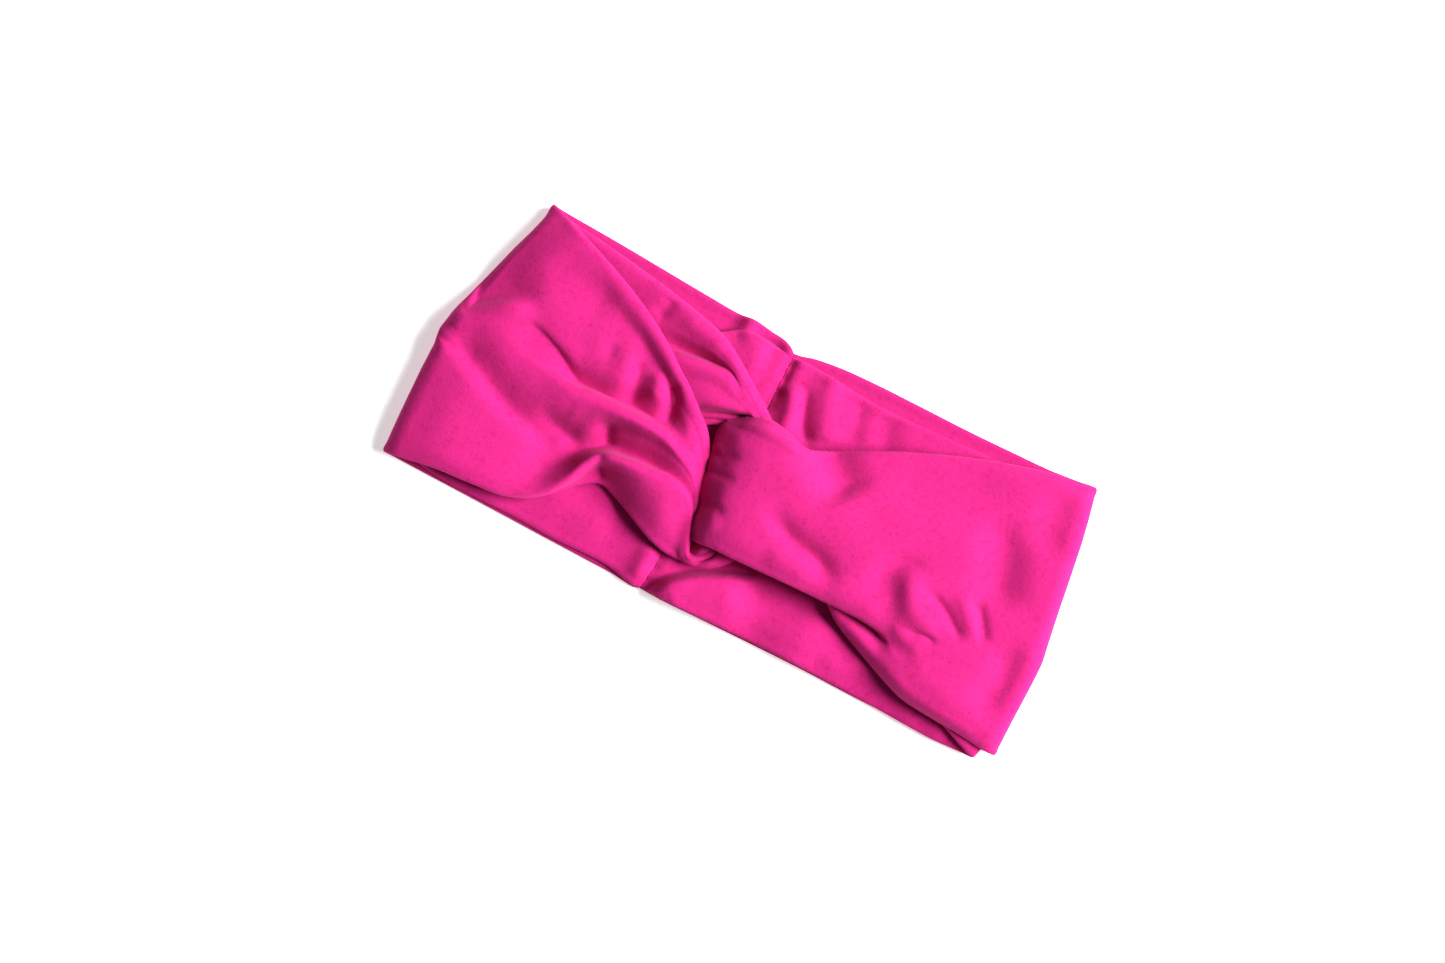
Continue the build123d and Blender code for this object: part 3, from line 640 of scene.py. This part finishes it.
def right_back_inner():
    """The right tube's inner leg behind, from the band's end to the back seam."""
    lower_edge = [(114, -55.9), (105, -56.4), (92, -56.1), (78, -55.6), (60, -55.1), (42, -54.9),
                  (25, -55.2), (10, -55.6), (-2, -55.9), (-10, -56), (-15.2, -55.9), (-18.15, -55.9)]
    upper_edge = [(108.4, 52), (99, 50), (88, 48.4), (76, 47.4), (60, 46.3), (44, 45.6),
                  (30, 45.4), (18, 46), (8, 46.8), (1, 47.2), (-3.6, 47), (-6.95, 46.5)]
    levels = [2.7, 2.7, 2.7, 2.7, 2.7, 2.7, 2.8, 3.2, 3.6, 4.0, 4.2, 4.2]
    grid = plain_panel(lower_edge, upper_edge, levels)
    join_seam(grid, DITCH_DEPTH)
    # the knot drags the cloth beside the seam into upright folds
    stroke(grid, [(-1, 42), (3.5, 36), (6, 30), (10, 23), (17, 17)], -1.5, 2.8, 2.4, taper=0.3)
    stroke(grid, [(-2, 38), (1, 31), (3, 18)], 2.6, 3.4, taper=0.2)
    stroke(grid, [(10, 49), (13, 37), (18, 23)], 1.8, 4.8, taper=0.15)
    stroke(grid, [(23, 46), (26, 35), (27, 25)], -1.2, 4)
    stroke(grid, [(33, 45), (38, 36), (42, 28)], -1.2, 5)
    # and below it into a slanting one, beside a valley
    stroke(grid, [(-16, -60), (-13, -51), (-7, -44.6), (6, -37.5), (20, -31)], -2.4, 3.8, 2, taper=0.1)
    stroke(grid, [(-14, -63), (-9.5, -51), (-2, -44.6), (9, -39), (22, -34)], 5.8, 2.6, 16, taper=0.3)
    # a crease beside the seam's upper end
    stroke(grid, [(-5.2, 52), (-5.4, 42), (-4.9, 26)], -1.1, 1.7)
    # a broad swell and two small ones along the lower edge
    stroke(grid, [(38, -35), (43, -46), (48, -63)], 3.2, 17, taper=0.35)
    stroke(grid, [(52, -51), (66, -45), (78, -40)], 1.2, 4.5)
    stroke(grid, [(85, -54), (100, -53), (112, -54)], 0.8, 2.5)
    ripple(grid, 0.16, seed=23)
    return grid


def right_back_outer():
    """The right tube's outer leg behind, from the back seam to the band's end."""
    lower_edge = [(-18.15, -56.3), (-14, -56.5), (-8, -56.6), (5, -56.3), (25, -55.9), (50, -55.6),
                  (78, -55.8), (98, -55), (110, -53.2), (121.5, -51.6)]
    upper_edge = [(-6.95, 48.2), (-3.8, 48.7), (0, 49.8), (10, 51.3), (25, 52.1), (45, 52.3),
                  (66, 52.4), (84, 52.9), (98, 53.4), (110, 54.6)]
    grid = plain_panel(lower_edge, upper_edge, [GROUND_LEVEL] * len(lower_edge), rim=0.0)
    join_seam(grid, -GROUND_LIFT)
    return grid


def right_tube():
    """The whole right tube's middle surface, from the back seam over the knot and back to it."""
    outside, front = right_back_outer(), right_front()
    inner, inside = right_inner(), right_back_inner()
    meet(front, inner)
    return np.concatenate([
        outside,
        side_fold(outside, front, RIGHT_END),
        front,
        side_fold(front, inner, NOSE, lean=1.0),
        inner,
        side_fold(inner, inside, RIGHT_INNER_END),
        inside,
    ])


# ---- back seam ----------------------------------------------------------------------------------
def seam_flaps():
    """The turned-in ends of the tubes, pressed open on both sides of the back seam."""
    y = np.arange(*FLAP_ENDS, ROW_STEP)
    shells = []
    for side in (-1, 1):
        reach = side * np.linspace(FLAP_GAP, FLAP_WIDTH, 10)
        grid = np.empty((len(y), len(reach), 3))
        grid[..., 0] = seam_x(y)[:, None] + reach
        grid[..., 1] = y[:, None]
        grid[..., 2] = FLAP_LEVEL - FLAP_DROOP * abs(reach) / FLAP_WIDTH
        ripple(grid, 0.05, seed=31 + side)
        shells.append(skin(grid, FLAP_THICKNESS, 0))
    return joined(shells)


def stitch(y, level, rise):
    """One stitch across the seam: a thin closed thread that arches up or down, as rise says."""
    turn = np.linspace(0, 2 * np.pi, 8, endpoint=False)
    reach = np.linspace(-STITCH_REACH, STITCH_REACH, 9)
    bulge = 1 - (reach / STITCH_REACH)**2
    radius = STITCH_RADIUS * np.sqrt(np.maximum(bulge, 0.02))
    arch = level + rise * STITCH_ARCH * bulge
    rings = np.empty((len(reach), len(turn), 3))
    rings[..., 0] = seam_x(y) + reach[:, None]
    rings[..., 1] = y + radius[:, None] * np.cos(turn) + STITCH_SLANT * reach[:, None]
    rings[..., 2] = arch[:, None] + radius[:, None] * np.sin(turn)
    count = len(turn)
    last = len(reach) - 1
    faces = [[r * count + i, r * count + (i + 1) % count, (r + 1) * count + (i + 1) % count,
              (r + 1) * count + i] for r in range(last) for i in range(count)]
    faces.append(list(range(count))[::-1])
    faces.append([last * count + i for i in range(count)])
    return rings.reshape(-1, 3) * MM, faces


def seam_stitches():
    """The row of stitches across the back seam, seen on its inner and outer side."""
    places = np.arange(FLAP_ENDS[0] + STITCH_PITCH / 2, FLAP_ENDS[1], STITCH_PITCH)
    return joined([stitch(y, level, rise) for level, rise in zip(STITCH_LEVELS, (-1, 1))
                   for y in places])


# ---- materials --------------------------------------------------------------------------------
CLOTH_DARK, CLOTH_LIGHT = (0.41, 0.0040, 0.102, 1), (0.49, 0.012, 0.156, 1)
THREAD_DARK, THREAD_LIGHT = (0.36, 0.001, 0.10, 1), (0.62, 0.005, 0.20, 1)
SHEEN_COLOUR = (0.95, 0.34, 0.78, 1.0)
NAP_SCALE, MOTTLE_SCALE = 1300, 420  # patches in a metre
NAP_DEPTH, MOTTLE_DEPTH = 0.25 * MM, 0.5 * MM
CLOTH_BUMP = 0.25  # strength of both
SHADE_RANGE = (0.6, 1.4)  # of the two noises added together, from the dark cloth to the light
TWIST_SCALE, TWIST_UNEVENNESS, TWIST_DEPTH = 1500, 0.5, 0.05 * MM


def new_material(name):
    """An empty node material: the material, its node tree and its shader."""
    material = bpy.data.materials.new(name)
    material.use_nodes = True
    tree = material.node_tree
    return material, tree, tree.nodes["Principled BSDF"]


def noise(tree, place, scale, detail):
    """A noise texture that stays put on the cloth."""
    node = tree.nodes.new("ShaderNodeTexNoise")
    node.inputs["Scale"].default_value = scale
    node.inputs["Detail"].default_value = detail
    node.inputs["Roughness"].default_value = 0.6
    tree.links.new(place.outputs["Object"], node.inputs["Vector"])
    return node


def colour_ramp(tree, factor, dark, light, ends=(0.0, 1.0)):
    """A ramp from dark to light between the two ends of factor."""
    ramp = tree.nodes.new("ShaderNodeValToRGB")
    for stop, position, colour in zip(ramp.color_ramp.elements, ends, (dark, light)):
        stop.position = position
        stop.color = colour
    tree.links.new(factor, ramp.inputs["Fac"])
    return ramp


def bump(tree, height, distance, strength=1.0):
    """A bump of the shading from a texture's height."""
    node = tree.nodes.new("ShaderNodeBump")
    node.inputs["Strength"].default_value = strength
    node.inputs["Distance"].default_value = distance
    tree.links.new(height, node.inputs["Height"])
    return node


def jersey_material():
    """Brushed stretch jersey: matt, with a soft nap that glows towards grazing angles."""
    material, tree, shader = new_material("brushed_jersey")
    shader.inputs["Roughness"].default_value = 0.92
    shader.inputs["Specular IOR Level"].default_value = 0.14
    shader.inputs["Sheen Weight"].default_value = 0.13
    shader.inputs["Sheen Roughness"].default_value = 0.45
    shader.inputs["Sheen Tint"].default_value = SHEEN_COLOUR
    place = tree.nodes.new("ShaderNodeTexCoord")
    nap = noise(tree, place, NAP_SCALE, 2)
    mottle = noise(tree, place, MOTTLE_SCALE, 3)
    shade = tree.nodes.new("ShaderNodeMath")
    shade.operation = "ADD"
    tree.links.new(nap.outputs["Fac"], shade.inputs[0])
    tree.links.new(mottle.outputs["Fac"], shade.inputs[1])
    ramp = colour_ramp(tree, shade.outputs["Value"], CLOTH_DARK, CLOTH_LIGHT, SHADE_RANGE)
    tree.links.new(ramp.outputs["Color"], shader.inputs["Base Color"])
    fuzz = bump(tree, nap.outputs["Fac"], NAP_DEPTH, CLOTH_BUMP)
    lumps = bump(tree, mottle.outputs["Fac"], MOTTLE_DEPTH, CLOTH_BUMP)
    tree.links.new(fuzz.outputs["Normal"], lumps.inputs["Normal"])
    tree.links.new(lumps.outputs["Normal"], shader.inputs["Normal"])
    return material


def thread_material():
    """Spun polyester thread, in the cloth's own pink."""
    material, tree, shader = new_material("sewing_thread")
    shader.inputs["Roughness"].default_value = 0.6
    place = tree.nodes.new("ShaderNodeTexCoord")
    twist = tree.nodes.new("ShaderNodeTexWave")
    twist.inputs["Scale"].default_value = TWIST_SCALE
    twist.inputs["Distortion"].default_value = TWIST_UNEVENNESS
    tree.links.new(place.outputs["Object"], twist.inputs["Vector"])
    ramp = colour_ramp(tree, twist.outputs["Fac"], THREAD_DARK, THREAD_LIGHT)
    tree.links.new(ramp.outputs["Color"], shader.inputs["Base Color"])
    strands = bump(tree, twist.outputs["Fac"], TWIST_DEPTH)
    tree.links.new(strands.outputs["Normal"], shader.inputs["Normal"])
    return material


def floor_material():
    """A matt white ground that glows a little, as a light table does."""
    material, _, shader = new_material("floor_white")
    shader.inputs["Base Color"].default_value = (0.93, 0.93, 0.93, 1)
    shader.inputs["Roughness"].default_value = 0.9
    shader.inputs["Emission Color"].default_value = (1, 1, 1, 1)
    shader.inputs["Emission Strength"].default_value = 0.5
    return material


# ---- camera, floor and light ------------------------------------------------------------------
BAND_TURN = np.radians(27.3)  # the band lies turned this far clockwise in the picture
VIEW_CENTRE = (-8.8 * MM, -6.6 * MM)
VIEW_WIDTH, VIEW_LEVEL = 536.8 * MM, 12 * MM  # the picture's width at this height above the floor
LENS, SENSOR = 100.0, 36.0
FLOOR_SIZE = 8.0
KEY_AZIMUTH, KEY_ELEVATION = np.radians(28), np.radians(35)
KEY_DISTANCE, KEY_SIZE, KEY_POWER = 8.0, 4.6, 2150
FILL = 0.12  # strength of the light from all round
BACKDROP_HEIGHT = 0.25  # the backdrop fades from white at the horizon to the fill, up to this sine


def add_camera():
    """Looks straight down on the band through a long lens."""
    data = bpy.data.cameras.new("camera")
    data.lens = LENS
    data.sensor_width = SENSOR
    camera = bpy.data.objects.new("camera", data)
    camera.location = (*VIEW_CENTRE, VIEW_WIDTH * LENS / SENSOR + VIEW_LEVEL)
    camera.rotation_euler = (0, 0, BAND_TURN)
    bpy.context.scene.collection.objects.link(camera)
    bpy.context.scene.camera = camera


def add_floor():
    """A plain white floor, part of the stage and not of the band."""
    bpy.ops.mesh.primitive_plane_add(size=FLOOR_SIZE)
    floor = bpy.context.active_object
    floor.name = "floor"
    floor.data.materials.append(floor_material())


def add_key_light():
    """A large soft light from the upper right of the picture, aimed at the band."""
    data = bpy.data.lights.new("key", "AREA")
    data.size = KEY_SIZE
    data.energy = KEY_POWER
    light = bpy.data.objects.new("key", data)
    away = KEY_DISTANCE * np.cos(KEY_ELEVATION)
    light.location = (away * np.cos(KEY_AZIMUTH), away * np.sin(KEY_AZIMUTH),
                      KEY_DISTANCE * np.sin(KEY_ELEVATION))
    light.rotation_euler = (np.pi / 2 - KEY_ELEVATION, 0, KEY_AZIMUTH + np.pi / 2)
    bpy.context.scene.collection.objects.link(light)


def add_backdrop():
    """A weak fill from all round, which brightens to a white backdrop at the horizon."""
    world = bpy.data.worlds.new("studio")
    world.use_nodes = True
    tree = world.node_tree
    background = tree.nodes["Background"]
    background.inputs["Color"].default_value = (1, 1, 1, 1)
    place = tree.nodes.new("ShaderNodeTexCoord")
    parts = tree.nodes.new("ShaderNodeSeparateXYZ")
    tree.links.new(place.outputs["Generated"], parts.inputs["Vector"])
    fade = tree.nodes.new("ShaderNodeMapRange")
    fade.inputs["From Min"].default_value = 0.0
    fade.inputs["From Max"].default_value = BACKDROP_HEIGHT
    fade.inputs["To Min"].default_value = 1.0
    fade.inputs["To Max"].default_value = FILL
    tree.links.new(parts.outputs["Z"], fade.inputs["Value"])
    tree.links.new(fade.outputs["Result"], background.inputs["Strength"])
    bpy.context.scene.world = world


# ---- the band ---------------------------------------------------------------------------------
add_camera()
add_floor()
add_key_light()
add_backdrop()
bpy.context.scene.view_settings.view_transform = "Standard"
jersey = jersey_material()

left_loop = mesh_object("left_loop", *skin(left_tube(), grooves=(0, GROOVE_DEPTH)), jersey)
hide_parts("left_outer_leg", "left_inner_leg", "left_bend", "left_closing_seam")
right_loop = mesh_object("right_loop", *skin(right_tube(), grooves=(GROOVE_DEPTH, 0)), jersey)
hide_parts("right_outer_leg", "right_inner_leg", "right_bend", "right_closing_seam")
flaps = mesh_object("seam_flaps", *seam_flaps(), jersey)
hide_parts("seam_allowance")
stitches = mesh_object("seam_stitches", *seam_stitches(), thread_material())
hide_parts("back_seam_stitches")

for loop in (left_loop, right_loop):
    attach(loop, "root")
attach(flaps, "root")
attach(stitches, "root")
